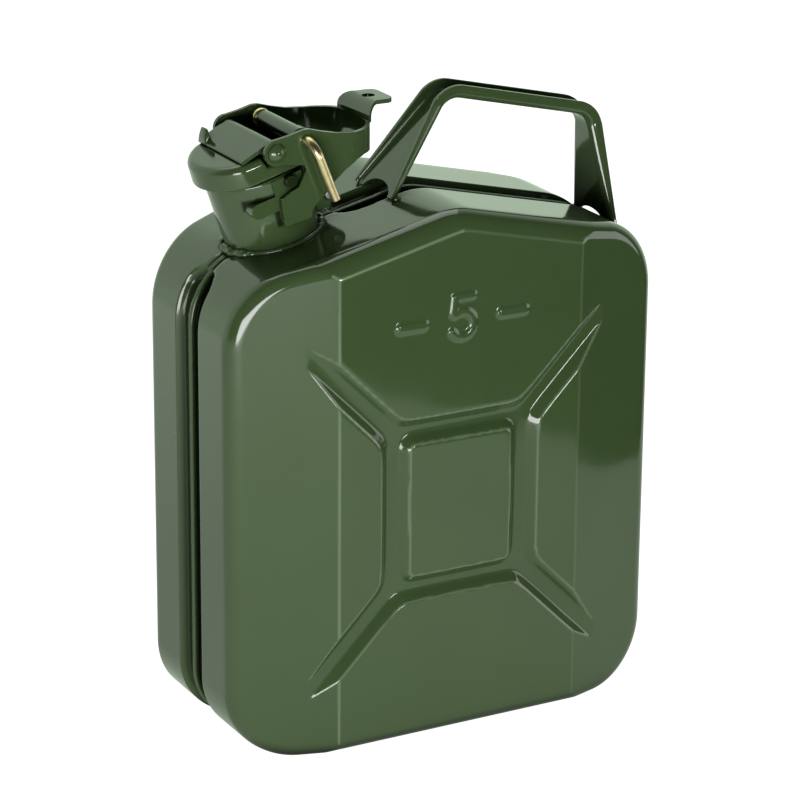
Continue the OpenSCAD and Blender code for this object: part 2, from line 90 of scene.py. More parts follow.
class CanShape(bpy.types.PropertyGroup):
    """Sizes of the pressed and welded pieces"""

    width: length("Width", "Tank across its narrow sides", 221)
    depth: length("Depth", "Tank from face to face", 112.4)
    peak: length("Roof Peak", "Height where the two roof slopes meet", 252.5)
    slope: angle("Roof Slope", "Fall of the roof to each side", 13.2)
    corner: length("Corner Radius", "Bottom corners of the tank seen from the front", 32)
    shoulder: length("Shoulder Radius", "Upper corners of the tank seen from the front", 36)
    edge: length("Edge Radius", "Rounding between a face and the narrow sides", 6.5)
    flat_half: length("Flat Half Width", "Half of the flat middle of a face", 62.4)
    bevel: length("Bevel", "Bent border of a face along the roof", 9)
    foot_bevel: length("Foot Bevel", "Bent border of a face along the bottom", 5)
    side_fall: FloatProperty(name="Side Fall", description="Slope of a face's outer panels", default=0.3)
    bevel_fall: FloatProperty(name="Bevel Fall", description="Slope of the bent border", default=0.33)
    crease: length("Crease", "Softness of the folds between the panels", 0.18)
    swage_height: length("Swage Height", "Height of the middle of the pressed cross", 113.8)
    swage_depth: length("Swage Depth", "How far the pressed cross is sunk", 4.2)
    ring_half_w: length("Ring Half Width", "Outer edge of the sunk frame's floor", 36.5)
    ring_half_h: length("Ring Half Height", "Outer edge of the sunk frame's floor", 40)
    pad_half_w: length("Pad Half Width", "Foot of the raised pad", 30.7)
    pad_half_h: length("Pad Half Height", "Foot of the raised pad", 36.2)
    arm_half: length("Arm Half Width", "Floor of a sunk arm", 3.1)
    swage_edge: length("Swage Edge", "Softness of the pressed edges", 0.32)
    groove_half: length("Groove Half Width", "Half of the groove round the seam", 11)
    groove_depth: length("Groove Depth", "Depth of the groove round the seam", 4.2)
    lip: length("Seam Lip", "Height of the upright lips at the seam", 2.8)
    seam: length("Seam Width", "Weld between the lips", 1.2)
    stretch_left: length("Closed From", "Where the groove stops on the spout side of the neck", -99)
    stretch_right: length("Closed To", "Where the groove stops on the handle side of the neck", -38)
    numeral: length("Numeral Height", "How far the capacity number stands out", 0.9)
    neck_x: length("Neck Place", "Middle of the neck across the width", -67.5)
    neck_lean: angle("Neck Lean", "Lean of the neck towards the spout side", 16)
    neck_foot: length("Neck Foot", "Radius of the neck at the roof", 21.8)
    neck_top: length("Neck Top", "Radius of the neck at its mouth", 23.4)
    neck_height: length("Neck Height", "Neck along its axis", 34)
    mouth: length("Mouth", "Radius of the opening", 17.5)
    cap_top: length("Cap Top", "Top of the cap along the neck", 45.2)
    wall: length("Neck Wall", "Sheet of the neck", 1.6)
    handle_half: length("Handle Half Width", "Half of the handle strap at its feet", 18)
    grip_half: length("Grip Half Width", "Half of the handle strap at the grip", 8)
    strap: length("Strap", "Sheet of the handle", 1.6)
    flange: length("Flange", "Height of the handle's turned edges", 6.4)
    foot_flange: length("Foot Flange", "Height of the turned edges at the feet", 3.2)
    foot_left: length("Left Foot", "Handle's foot near the neck", -13)
    bend_left: length("Left Bend", "Handle's bend near the neck", 20)
    bend_right: length("Right Bend", "Handle's far bend", 94)
    foot_right: length("Right Foot", "Handle's far foot", 101.5)
    grip: length("Grip Room", "Height of the grip over the roof", 43)
    bend: length("Bend Radius", "Inner radius of the handle's bends", 9)
    arch: length("Foot Arch", "Half the width of the cut over the groove in each foot", 11.5)
    arch_rise: length("Arch Rise", "Height of the cut over the groove in each foot", 6)


class CanFinish(bpy.types.PropertyGroup):
    """Colours of the finishes"""

    enamel: colour("Enamel", "Green stove enamel", "#3f5230")
    enamel_thin: colour("Thin Enamel", "Enamel where the coat runs thinner", "#455a36")
    # Painted highlight colour, mixed in along the pressed edges and folds
    enamel_edge: colour("Edge Enamel", "Enamel drawn thin over a pressed edge", "#9db08f")
    zinc: colour("Zinc", "Yellow passivated zinc", "#bfa970")
    zinc_pale: colour("Pale Zinc", "Zinc where the passivation is thin", "#ded3ae")
    steel: colour("Steel", "Bare drawn steel", "#9c9d9b")
    rubber: colour("Rubber", "Black nitrile rubber", "#151515")


class CanStudio(bpy.types.PropertyGroup):
    """Camera, floor and lamps"""

    eye: FloatVectorProperty(
        name="Eye", description="Place of the camera", default=(-0.7352, -1.3331, 0.6796),
        subtype="TRANSLATION", unit="LENGTH",
    )
    azimuth: angle("Azimuth", "Turn of the view from the front", -29.06)
    elevation: angle("Elevation", "Tilt of the view below the horizon", 18.98)
    roll: angle("Roll", "Turn of the picture", 0.54)
    lens: FloatProperty(name="Lens", description="Focal length", default=155.25, unit="CAMERA")
    floor: colour("Floor", "Pale floor", "#f2f2f2")
    walls: colour("Walls", "Pale green walls, seen only as the paint mirrors them", "#e8ffe3")
    key: power("Key Lamp", "Soft box on the spout side", 8.5)
    top: power("Top Lamp", "Soft box overhead", 6.0)
    side: power("Side Lamp", "Low soft box on the handle side", 4.0)
    front: power("Front Lamp", "Small soft box in front", 4.0)


def in_millimetres(group):
    """The group's lengths in millimetres, and its angles and slopes as they are."""
    values = {}
    for item in group.bl_rna.properties:
        if item.identifier not in ("rna_type", "name"):
            scale = 1 / MM if item.unit == "LENGTH" else 1
            values[item.identifier] = getattr(group, item.identifier) * scale
    return SimpleNamespace(**values)


def add_node(tree, kind, settings=None, links=None):
    """Adds one node, sets its inputs or fields, and links its inputs to other nodes' outputs."""
    node = tree.nodes.new(kind)
    for key, value in (settings or {}).items():
        if isinstance(key, int) or key in node.inputs:
            node.inputs[key].default_value = value
        else:
            setattr(node, key, value)
    for key, source in (links or {}).items():
        tree.links.new(source, node.inputs[key])
    return node


def blank_material(name):
    material = bpy.data.materials.new(name)
    material.use_nodes = True
    material.node_tree.nodes.clear()
    return material


def green_enamel(finish):
    """Stove enamel sprayed on pressed sheet steel: a deep gloss with the slight ripple of sprayed paint."""
    material = blank_material("green_stove_enamel")
    tree = material.node_tree
    place = add_node(tree, "ShaderNodeTexCoord").outputs["Object"]
    # The coat runs thicker and thinner over patches about 45 mm across
    patches = add_node(tree, "ShaderNodeTexNoise", {"Scale": 1 / (45 * MM), "Detail": 3.0}, {"Vector": place})
    tint = add_node(tree, "ShaderNodeValToRGB", links={"Fac": patches.outputs["Fac"]})
    tint.color_ramp.elements[0].color = finish.enamel
    tint.color_ramp.elements[1].color = finish.enamel_thin
    # Painted highlight: a paler line along the pressed edges and folds, standing in for their glints
    edge = add_node(tree, "ShaderNodeAttribute", {"attribute_name": PAINTED_HIGHLIGHT})
    highlighted = add_node(
        tree, "ShaderNodeMix", {"data_type": "RGBA", "B": finish.enamel_edge},
        {"Factor": edge.outputs["Fac"], "A": tint.outputs["Color"]},
    )
    # Painted shade: hollows narrower than about 16 mm are darkened by ambient occlusion, which also dulls the
    # gloss there
    hollow = add_node(tree, "ShaderNodeAmbientOcclusion", {"Distance": 16 * MM, "samples": 8})
    hollow_shade = add_node(
        tree, "ShaderNodeMapRange", {"From Min": 0.2, "From Max": 0.8, "To Min": 0.04, "To Max": 1.0},
        {"Value": hollow.outputs["AO"]},
    )
    # Painted shade: black on the floor of the seam groove and about the catches
    painted_shade = add_node(tree, "ShaderNodeAttribute", {"attribute_name": PAINTED_SHADE})
    painted_shade_level = add_node(
        tree, "ShaderNodeMapRange", {"To Min": 1.0, "To Max": 0.08}, {"Value": painted_shade.outputs["Fac"]}
    )
    # Painted shade of the hollows and of the marked places together, as one scale for colour and gloss
    painted_shade_scale = add_node(
        tree, "ShaderNodeMath", {"operation": "MULTIPLY"},
        {0: hollow_shade.outputs["Result"], 1: painted_shade_level.outputs["Result"]},
    )
    shaded = add_node(
        tree, "ShaderNodeVectorMath", {"operation": "SCALE"},
        {"Vector": highlighted.outputs[2], "Scale": painted_shade_scale.outputs["Value"]},
    )
    gloss = add_node(
        tree, "ShaderNodeMath", {"operation": "MULTIPLY", 1: 0.5}, {0: painted_shade_scale.outputs["Value"]}
    )
    # Haze from handling, in smears about 18 mm across
    smears = add_node(tree, "ShaderNodeTexNoise", {"Scale": 1 / (18 * MM), "Detail": 4.0}, {"Vector": place})
    haze = add_node(
        tree, "ShaderNodeMapRange", {"From Min": 0.3, "From Max": 0.7, "To Min": 0.06, "To Max": 0.12},
        {"Value": smears.outputs["Fac"]},
    )
    # Orange peel of the sprayed coat: cells of 3 mm, a little coarser than real so that they show
    peel = add_node(tree, "ShaderNodeTexNoise", {"Scale": 1 / (3 * MM), "Detail": 1.0}, {"Vector": place})
    bump = add_node(
        tree, "ShaderNodeBump", {"Strength": 0.08, "Distance": 0.08 * MM}, {"Height": peel.outputs["Fac"]}
    )
    paint = add_node(
        tree, "ShaderNodeBsdfPrincipled", {"IOR": 1.6},
        {
            "Base Color": shaded.outputs["Vector"], "Roughness": haze.outputs["Result"],
            "Specular IOR Level": gloss.outputs["Value"], "Normal": bump.outputs["Normal"],
        },
    )
    add_node(tree, "ShaderNodeOutputMaterial", links={"Surface": paint.outputs["BSDF"]})
    return material


def yellow_zinc(finish):
    """Drawn wire, zinc plated and passivated yellow: a warm metal with paler and darker bands along it."""
    material = blank_material("yellow_zinc_plated_wire")
    tree = material.node_tree
    place = add_node(tree, "ShaderNodeTexCoord").outputs["Object"]
    # Passivation colour drifts over about 4 mm
    drift = add_node(tree, "ShaderNodeTexNoise", {"Scale": 1 / (4 * MM), "Detail": 3.0}, {"Vector": place})
    tint = add_node(tree, "ShaderNodeValToRGB", links={"Fac": drift.outputs["Fac"]})
    tint.color_ramp.elements[0].color = finish.zinc
    tint.color_ramp.elements[1].color = finish.zinc_pale
    # Drawing marks, 0.5 mm apart so that they show
    marks = add_node(tree, "ShaderNodeTexNoise", {"Scale": 1 / (0.5 * MM), "Detail": 2.0}, {"Vector": place})
    bump = add_node(
        tree, "ShaderNodeBump", {"Strength": 0.15, "Distance": 0.05 * MM}, {"Height": marks.outputs["Fac"]}
    )
    metal = add_node(
        tree, "ShaderNodeBsdfPrincipled", {"Metallic": 1.0, "Roughness": 0.3},
        {"Base Color": tint.outputs["Color"], "Normal": bump.outputs["Normal"]},
    )
    add_node(tree, "ShaderNodeOutputMaterial", links={"Surface": metal.outputs["BSDF"]})
    return material


def drawn_steel(finish):
    """Bare drawn steel rod: grey metal with a dull, slightly scratched skin."""
    material = blank_material("drawn_steel")
    tree = material.node_tree
    place = add_node(tree, "ShaderNodeTexCoord").outputs["Object"]
    # Scratches about 0.6 mm apart, drawn coarse so that they show
    marks = add_node(tree, "ShaderNodeTexNoise", {"Scale": 1 / (0.6 * MM), "Detail": 2.0}, {"Vector": place})
    rough = add_node(
        tree, "ShaderNodeMapRange", {"To Min": 0.28, "To Max": 0.45}, {"Value": marks.outputs["Fac"]}
    )
    metal = add_node(
        tree, "ShaderNodeBsdfPrincipled", {"Metallic": 1.0, "Base Color": finish.steel},
        {"Roughness": rough.outputs["Result"]},
    )
    add_node(tree, "ShaderNodeOutputMaterial", links={"Surface": metal.outputs["BSDF"]})
    return material


def nitrile_rubber(finish):
    """Moulded nitrile rubber: black and dull with a fine grain."""
    material = blank_material("nitrile_rubber")
    tree = material.node_tree
    place = add_node(tree, "ShaderNodeTexCoord").outputs["Object"]
    # Grain of the mould, 0.8 mm
    grain = add_node(tree, "ShaderNodeTexNoise", {"Scale": 1 / (0.8 * MM), "Detail": 2.0}, {"Vector": place})
    bump = add_node(
        tree, "ShaderNodeBump", {"Strength": 0.2, "Distance": 0.05 * MM}, {"Height": grain.outputs["Fac"]}
    )
    rubber = add_node(
        tree, "ShaderNodeBsdfPrincipled", {"Base Color": finish.rubber, "Roughness": 0.6},
        {"Normal": bump.outputs["Normal"]},
    )
    add_node(tree, "ShaderNodeOutputMaterial", links={"Surface": rubber.outputs["BSDF"]})
    return material


FINISHES = {"paint": green_enamel, "zinc": yellow_zinc, "steel": drawn_steel, "rubber": nitrile_rubber}
made = {}


def finish_for(slot):
    if slot not in made:
        made[slot] = FINISHES[slot](bpy.context.scene.can_finish)
    return made[slot]


def put(piece, body, slot, *nodes):
    """Gives a piece its finish and ties it to the body and the nodes it stands for."""
    piece.data.materials.clear()
    piece.data.materials.append(finish_for(slot))
    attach(piece, body)
    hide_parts(*nodes)


def new_object(name, data):
    """An object linked into the scene."""
    linked = bpy.data.objects.new(name, data)
    bpy.context.scene.collection.objects.link(linked)
    return linked


def piece_from(name, verts, faces):
    """A smooth mesh piece from points in millimetres."""
    mesh = bpy.data.meshes.new(name)
    points = np.asarray(verts).reshape(-1, 3) * MM
    mesh.from_pydata(points.tolist(), [], [list(map(int, face)) for face in faces])
    if mesh.validate():
        raise RuntimeError(f"{name} has broken faces")
    mesh.shade_smooth()
    return new_object(name, mesh)


def mark(piece, attribute, values):
    """Gives each point of a piece its value of one of the enamel's attributes."""
    piece.data.attributes.new(attribute, "FLOAT", "POINT").data.foreach_set("value", values)


def modify(piece, name, kind, **settings):
    """Gives a piece one modifier."""
    modifier = piece.modifiers.new(name, kind)
    for key, value in settings.items():
        setattr(modifier, key, value)


def grid(rows, columns):
    """Numbers of a mesh's points, laid out in rows."""
    return np.arange(rows * columns).reshape(rows, columns)


def grid_faces(index):
    return np.stack([index[:-1, :-1], index[:-1, 1:], index[1:, 1:], index[1:, :-1]], -1).reshape(-1, 4)


def run_along(points):
    """Distance of each point from the first, along the line through them."""
    return np.concatenate([[0], np.cumsum(np.linalg.norm(np.diff(points, axis=0), axis=1))])


def full_turn(steps):
    return np.linspace(0, 2 * math.pi, steps, endpoint=False)


def smooth_step(t):
    t = np.clip(t, 0, 1)
    return t * t * (3 - 2 * t)


def soft_max(a, b, reach):
    return 0.5 * (a + b + np.sqrt((a - b) ** 2 + reach**2))


def soft_min(a, b, reach):
    return -soft_max(-a, -b, reach)


def round_box(x, z, half_w, half_h, radius):
    """Distance to the edge of a rounded rectangle, negative inside."""
    qx, qz = np.abs(x) - half_w + radius, np.abs(z) - half_h + radius
    return np.hypot(np.maximum(qx, 0), np.maximum(qz, 0)) + np.minimum(np.maximum(qx, qz), 0) - radius


def stroke(x, z, points):
    """Distance to a drawn line."""
    best = np.full(np.shape(x), np.inf)
    for (ax, az), (bx, bz) in zip(points, points[1:]):
        t = ((x - ax) * (bx - ax) + (z - az) * (bz - az)) / ((bx - ax) ** 2 + (bz - az) ** 2)
        t = np.clip(t, 0, 1)
        best = np.minimum(best, np.hypot(x - ax - t * (bx - ax), z - az - t * (bz - az)))
    return best


def roof(shape, x):
    return shape.peak - math.tan(shape.slope) * np.abs(x)


class Outline:
    """The tank seen from the front: each point is a skeleton point pushed out along its own normal."""

    def __init__(self, shape):
        self.slope = shape.slope
        self.reach = shape.corner
        self.shoulder = shape.shoulder
        self.low_x = shape.width / 2 - shape.corner
        self.high_x = shape.width / 2 - shape.shoulder
        drop = shape.shoulder / math.cos(shape.slope)
        self.low = shape.corner
        self.peak = shape.peak - drop
        self.high = float(roof(shape, self.high_x)) - drop

    def from_shoulder(self, centres, normals):
        """Skeleton points of the upper outline, which turns about its own centres."""
        return centres + (self.shoulder - self.reach) * normals, normals

    def floor_edge(self, x, inset):
        over = np.clip((np.abs(x) - self.low_x) / (self.reach - inset), 0, 1)
        skeleton = np.stack([np.clip(x, -self.low_x, self.low_x), np.full_like(x, self.low)], 1)
        return skeleton, np.stack([np.sign(x) * over, -np.sqrt(1 - over**2)], 1)

    def roof_edge(self, x, inset):
        k, a, sine = self.shoulder - inset, np.abs(x), math.sin(self.slope)
        rounded = np.where(a < self.high_x + k * sine, sine, (a - self.high_x) / k)
        over = np.where(a < k * sine, a / k, rounded)
        along = np.clip(a - k * sine, 0, self.high_x)
        centres = np.stack([np.sign(x) * along, self.peak - math.tan(self.slope) * along], 1)
        return self.from_shoulder(centres, np.stack([np.sign(x) * over, np.sqrt(1 - over**2)], 1))

    def side_edge(self, z, inset, side):
        upper = z > self.high
        radius = np.where(upper, self.shoulder, self.reach) - inset
        rise = (z - np.clip(z, self.low, self.high)) / radius
        normals = np.stack([side * np.sqrt(1 - rise**2), rise], 1)
        lower_centres = np.stack([np.full_like(z, side * self.low_x), np.clip(z, self.low, self.high)], 1)
        upper_centres = np.array([side * self.high_x, self.high])
        skeleton = np.where(upper[:, None], self.from_shoulder(upper_centres, normals)[0], lower_centres)
        return skeleton, normals

    def edges(self, inset, columns, rows):
        """Bottom, right, roof and left, each from the middle of one corner to the middle of the next."""
        low = (self.reach - inset) * math.sqrt(0.5)
        high = (self.shoulder - inset) * math.sqrt(0.5)
        floor_x = np.linspace(-self.low_x - low, self.low_x + low, columns)
        roof_x = np.linspace(-self.high_x - high, self.high_x + high, columns)
        z = np.linspace(self.low - low, self.high + high, rows)
        return [
            self.floor_edge(floor_x, inset), self.side_edge(z, inset, 1), self.roof_edge(roof_x, inset),
            self.side_edge(z, inset, -1),
        ]


def closed_loop(edges):
    """Skeleton and normals of the four edges, joined into one loop."""
    low, right, high, left = edges
    return [np.concatenate([low[k], right[k][1:], high[k][-2::-1], left[k][-2:0:-1]]) for k in (0, 1)]


def face_depth(shape, x, z):
    """Distance of the unpressed face from the middle plane."""
    # The border turns the roof's corner on a small round
    ridge = 1.5
    level = np.sqrt(x**2 + ridge**2)
    falls = (
        shape.side_fall * (np.abs(x) - shape.flat_half),
        shape.bevel_fall * (shape.bevel - (shape.peak - math.tan(shape.slope) * level - z)),
        shape.bevel_fall * (shape.foot_bevel - z),
    )
    fall = np.zeros_like(x)
    for each in falls:
        fall = soft_max(fall, each, shape.crease)
    return shape.depth / 2 - fall


def pressed_depth(shape, x, z):
    """The face with the sunk frame, its raised pad and four arms, and the slight wander of pressed sheet."""
    ring_corner, pad_corner, foot, arm_lap, arm_end, fork = 5, 7.5, 0.4, 4, 1.0, 2.5
    h = z - shape.swage_height
    outer = round_box(x, h, shape.ring_half_w, shape.ring_half_h, ring_corner)
    pad = round_box(x, h, shape.pad_half_w, shape.pad_half_h, pad_corner)
    ring = soft_max(outer, -pad, foot)
    lead = shape.ring_half_h - shape.ring_half_w
    across = np.abs(np.abs(h) - lead - np.abs(x)) / math.sqrt(2) - shape.arm_half
    start = (shape.ring_half_w - arm_lap - np.abs(x)) * 1.2
    arms = soft_max(across, start, arm_end)
    floor = soft_min(ring, arms, fork)
    walls = soft_max(floor, np.zeros_like(floor), foot)
    level = shape.depth / 2 - shape.swage_depth
    wander = 0.07 * np.sin(x / 17 + 0.6) * np.sin(z / 23 + 1.1) + 0.05 * np.sin(x / 9 - z / 13)
    return soft_min(face_depth(shape, x, z) + wander, level + walls, shape.swage_edge)


def outward_bend(depth, shape, x, z, reach=0.5):
    """How sharply a face bends outward, in turns of slope per millimetre."""
    steps = ((reach, 0), (-reach, 0), (0, reach), (0, -reach))
    return (4 * depth(shape, x, z) - sum(depth(shape, x + dx, z + dz) for dx, dz in steps)) / reach**2


def painted_edge_highlight(shape, x, z):
    """Strength of the painted highlight: on the folds, most to the spout side, and on the swage's edges."""
    most, most_on_swage = np.where(x < 0, 0.62, 0.2), 0.3
    pressed = np.clip((face_depth(shape, x, z) - pressed_depth(shape, x, z)) / 0.5, 0, 1)
    fold = np.clip((outward_bend(face_depth, shape, x, z) - 0.06) / 0.2, 0, 1)
    swage = np.clip((outward_bend(pressed_depth, shape, x, z) - 0.3) / 1.2, 0, most_on_swage)
    return np.maximum(most * fold * (1 - pressed), swage)


def capacity_mark(shape, x, z):
    """Plain number between two dashes, raised on the upper face."""
    top, bowl_x, bowl_z, bowl_r, dash_z, dash_from, dash_to = 212.6, -0.3, 199.6, 6.0, 202, 20.2, 31.8
    half_line, edge, bolder = 2.5, 1.5, 0.75
    five = [(5.0, top), (-4.1, top), (-5.0, 204.9)]
    for a in np.radians(np.linspace(128, -150, 15)):
        five.append((bowl_x + bowl_r * math.cos(a), bowl_z + bowl_r * math.sin(a)))
    beside = stroke(np.abs(x), z, [(dash_from, dash_z), (dash_to, dash_z)])
    near = np.minimum(stroke(x, z, five), bolder * beside)
    return shape.numeral * smooth_step((half_line - near) / edge)


def groove_inset(shape, past_end, y):
    """How far the groove lies below the narrow side: rounded at its ends, with lips in the middle."""
    half, lip_edge = shape.groove_half, shape.seam / 2 + 1.15
    sunk = half - np.hypot(np.maximum(0, half - past_end), y)
    lip_top = smooth_step((lip_edge - np.abs(y)) / 0.25)
    flat_floor = shape.groove_depth * smooth_step((sunk + 0.8) / 1.7)
    return flat_floor * (1 - shape.lip / shape.groove_depth * lip_top)


def loop_past_end(shape, loop):
    """Distance of each point of the outline from the closed stretch at the neck, along the outline."""
    run = run_along(loop)
    upper = (loop[:, 1] > shape.peak * 0.7) & (loop[:, 0] < 0)
    order = np.argsort(loop[upper, 0])
    stretch = [shape.stretch_left, shape.stretch_right]
    left, right = np.interp(stretch, loop[upper, 0][order], run[upper][order])
    return np.maximum(0, np.maximum(run - max(left, right), min(left, right) - run))


GROOVE_ROWS = (
    27, 25.5, 24, 22.5, 21, 19.5, 18, 16.5, 15, 13.8, 12.9, 12.3, 11.8, 11.4, 11, 10.6, 10.2, 9.7, 9, 7.5, 6,
    4.5, 3.2, 2.4, 1.8, 1.68, 1.58, 1.5, 0.6,
)


def tank_half(shape, side, pitch):
    """Points and faces of one half: pressed face, rounded edge, narrow sides and half of the groove.

    The last two values say how much painted highlight each point has, and how much painted shade lies there.
    """
    outline = Outline(shape)
    edges = outline.edges(shape.edge, int(shape.width / pitch), int(shape.peak / pitch))
    low, right, high, left = [s + (shape.corner - shape.edge) * n for s, n in edges]
    s = np.linspace(0, 1, len(low))[None, :, None]
    t = np.linspace(0, 1, len(left))[:, None, None]
    flat = (1 - t) * low[None] + t * high[None] + (1 - s) * left[:, None] + s * right[:, None]
    flat -= (1 - t) * ((1 - s) * low[0] + s * low[-1]) + t * ((1 - s) * high[0] + s * high[-1])
    x, z = flat[..., 0], flat[..., 1]
    y = pressed_depth(shape, x, z)
    if side < 0:
        y = y + capacity_mark(shape, x, z)
    rows, columns = x.shape
    # Painted highlight along the folds and the swage's edges
    highlighted = painted_edge_highlight(shape, x, z).ravel()
    verts = [np.stack([x, side * y, z], -1).reshape(-1, 3)]
    index = grid(rows, columns)
    faces = [grid_faces(index)]
    rim = np.concatenate([index[0], index[1:, -1], index[-1, -2::-1], index[-2:0:-1, 0]])
    bone, out = closed_loop(edges)
    bands = []
    for turn in np.radians(np.arange(78, -1, -12)).tolist() + [0.0]:
        inset = shape.edge * (1 - math.cos(turn))
        p = bone + (shape.corner - inset) * out
        bands.append((p, face_depth(shape, p[:, 0], p[:, 1]) - shape.edge * (1 - math.sin(turn))))
    loop = bone + shape.corner * out
    past_end = loop_past_end(shape, loop)
    edge_depth = bands[-1][1]
    for share in (0.75, 0.5, 0.25):
        bands.append((loop, GROOVE_ROWS[0] + share * (edge_depth - GROOVE_ROWS[0])))
    painted_shade = [np.zeros(rows * columns + len(bone) * len(bands))]
    for row in GROOVE_ROWS:
        inset = groove_inset(shape, past_end, row)
        bands.append((bone + (shape.corner - inset)[:, None] * out, np.full(len(bone), float(row))))
        # Painted shade: the front half's side of the groove lies in the lips' lee and is painted darkest
        painted_shade.append((1.0 if side < 0 else 0.5) * smooth_step((inset - 1.7) / 1.6))
    for p, depth in bands:
        fresh = sum(len(v) for v in verts) + np.arange(len(rim))
        verts.append(np.stack([p[:, 0], side * depth, p[:, 1]], -1))
        faces.append(np.stack([rim, fresh, np.roll(fresh, -1), np.roll(rim, -1)], -1))
        rim = fresh
    verts, faces = np.concatenate(verts), np.concatenate(faces)
    highlighted = np.concatenate([highlighted, np.zeros(len(verts) - len(highlighted))])
    verts, faces, used = cut_for_neck(shape, verts, faces)
    return verts, faces if side < 0 else faces[:, ::-1], highlighted[used], np.concatenate(painted_shade)[used]


def cut_for_neck(shape, verts, faces):
    """Opens the roof where the neck goes through, with the points next to the edge drawn onto it."""
    hole, rim, reach = shape.neck_foot - 0.4, 1.1, 15
    base, axis, _ = neck_axes(shape)
    away = verts - base
    along = away @ axis
    flat = away - along[:, None] * axis
    radius = np.linalg.norm(flat, axis=1)
    upper = np.abs(along) < reach
    near = upper & (radius < hole) & (radius > hole - rim)
    verts[near] += flat[near] * ((hole / radius[near]) - 1)[:, None]
    gone = upper & (radius <= hole - rim)
    kept = faces[~gone[faces].any(1)]
    used = np.unique(kept)
    renumber = np.zeros(len(verts), int)
    renumber[used] = np.arange(len(used))
    return verts[used], renumber[kept], used


def neck_axes(shape):
    """Foot of the neck on the roof, its axis and its direction towards the handle."""
    sine, cosine = math.sin(shape.neck_lean), math.cos(shape.neck_lean)
    base = np.array([shape.neck_x, 0, float(roof(shape, shape.neck_x))])
    return base, np.array([-sine, 0, cosine]), np.array([cosine, 0, sine])


def from_neck(shape, lateral, y, along):
    """Points given across, through and along the neck."""
    base, axis, across = neck_axes(shape)
    lateral, y, along = np.broadcast_arrays(lateral, y, along)
    return base + lateral[..., None] * across + y[..., None] * ACROSS + along[..., None] * axis


def bead(line, across, up, turns):
    """Points of a bead along a line. Across and up are the half axes of its section at each point."""
    ring = np.cos(turns)[None, :, None] * across[:, None] + np.sin(turns)[None, :, None] * up[:, None]
    return line[:, None] + ring


def tube_faces(index, closed):
    following = np.roll(index, -1, 0) if closed else index[1:]
    start = index if closed else index[:-1]
    quads = np.stack([start, np.roll(start, -1, 1), np.roll(following, -1, 1), following], -1).reshape(-1, 4)
    return quads.tolist() + ([] if closed else [index[0][::-1].tolist(), index[-1].tolist()])


def weld_ripple(run, pitch, seed):
    """Uneven swelling of a weld along its run, between about -1 and 1."""
    return (
        0.45 * np.sin(2 * math.pi * run / pitch + seed)
        + 0.35 * np.sin(2 * math.pi * run / (pitch * 2.3) + 1.7 * seed)
        + 0.3 * np.sin(2 * math.pi * run / (pitch * 0.61) + 2.9 * seed)
    )


def copy_of_node(name, node, bevel):
    """A piece with a node's own form, its flat facets merged and its edges broken."""
    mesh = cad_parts[node].data.copy()
    mesh.name = name
    edit = bmesh.new()
    edit.from_mesh(mesh)
    bmesh.ops.remove_doubles(edit, verts=edit.verts, dist=0.002 * MM)
    bmesh.ops.dissolve_limit(
        edit, angle_limit=math.radians(1.5), use_dissolve_boundaries=False,
        verts=edit.verts, edges=edit.edges,
    )
    edit.to_mesh(mesh)
    edit.free()
    mesh.shade_smooth()
    piece = new_object(name, mesh)
    modify(
        piece, "broken_edges", "BEVEL", width=bevel * MM, segments=2, limit_method="ANGLE",
        angle_limit=math.radians(35), harden_normals=True, use_clamp_overlap=True,
    )
    modify(piece, "flat_faces", "WEIGHTED_NORMAL", keep_sharp=True)
    return piece


def put_copies(body, slot, *rows):
    """Pieces with their nodes' own forms. A row holds a name, its node and the width of its broken edges."""
    for name, node, bevel in rows:
        put(copy_of_node(name, node, bevel), body, slot, node)


class CAN_OT_tank(bpy.types.Operator):
    """Press the two halves of the tank"""

    bl_idname = "jerry_can.tank"
    bl_label = "Tank Halves"

    def execute(self, context):
        shape = in_millimetres(context.scene.can_shape)
        halves = (("front_half", "front_shell", -1, 0.75), ("rear_half", "rear_shell", 1, 1.0))
        for name, node, side, pitch in halves:
            verts, faces, highlighted, painted_shade = tank_half(shape, side, pitch)
            half = piece_from(name, verts, faces)
            # Painted highlight along the pressed edges and folds
            mark(half, PAINTED_HIGHLIGHT, highlighted)
            # Painted shade on the floor of the seam groove
            mark(half, PAINTED_SHADE, painted_shade)
            put(half, "can", "paint", node)
        return {"FINISHED"}


class CAN_OT_seam(bpy.types.Operator):
    """Run the weld between the lips of the two halves"""

    bl_idname = "jerry_can.seam"
    bl_label = "Seam Weld"

    def execute(self, context):
        shape = in_millimetres(context.scene.can_shape)
        bone, out = closed_loop(Outline(shape).edges(0, 420, 420))
        loop = bone + shape.corner * out
        inset = groove_inset(shape, loop_past_end(shape, loop), 0.0)
        half, proud, lumps, pitch, seed = shape.seam / 2, 0.35, 0.16, 2.6, 0.4
        crown = proud + lumps * weld_ripple(run_along(loop), pitch, seed)
        # Section of the bead: place across, depth below the lips' edges, and share of the crown
        left = [(-half - 0.15, 1.1, 0), (-half - 0.1, 0.1, 0), (-half * 0.6, 0, 0.7)]
        profile = left + [(0, 0, 1.0)] + [(-y, sunk, rise) for y, sunk, rise in reversed(left)]
        rings = []
        for y, sunk, rise in profile:
            p = bone + (shape.corner - inset - sunk - 0.15 + rise * crown)[:, None] * out
            rings.append(np.stack([p[:, 0], np.full(len(p), y), p[:, 1]], -1))
        faces = tube_faces(grid(len(loop), len(profile)), True)
        weld = piece_from("seam_bead", np.stack(rings, 1), faces)
        put(weld, "can", "paint", "seam_weld")
        return {"FINISHED"}


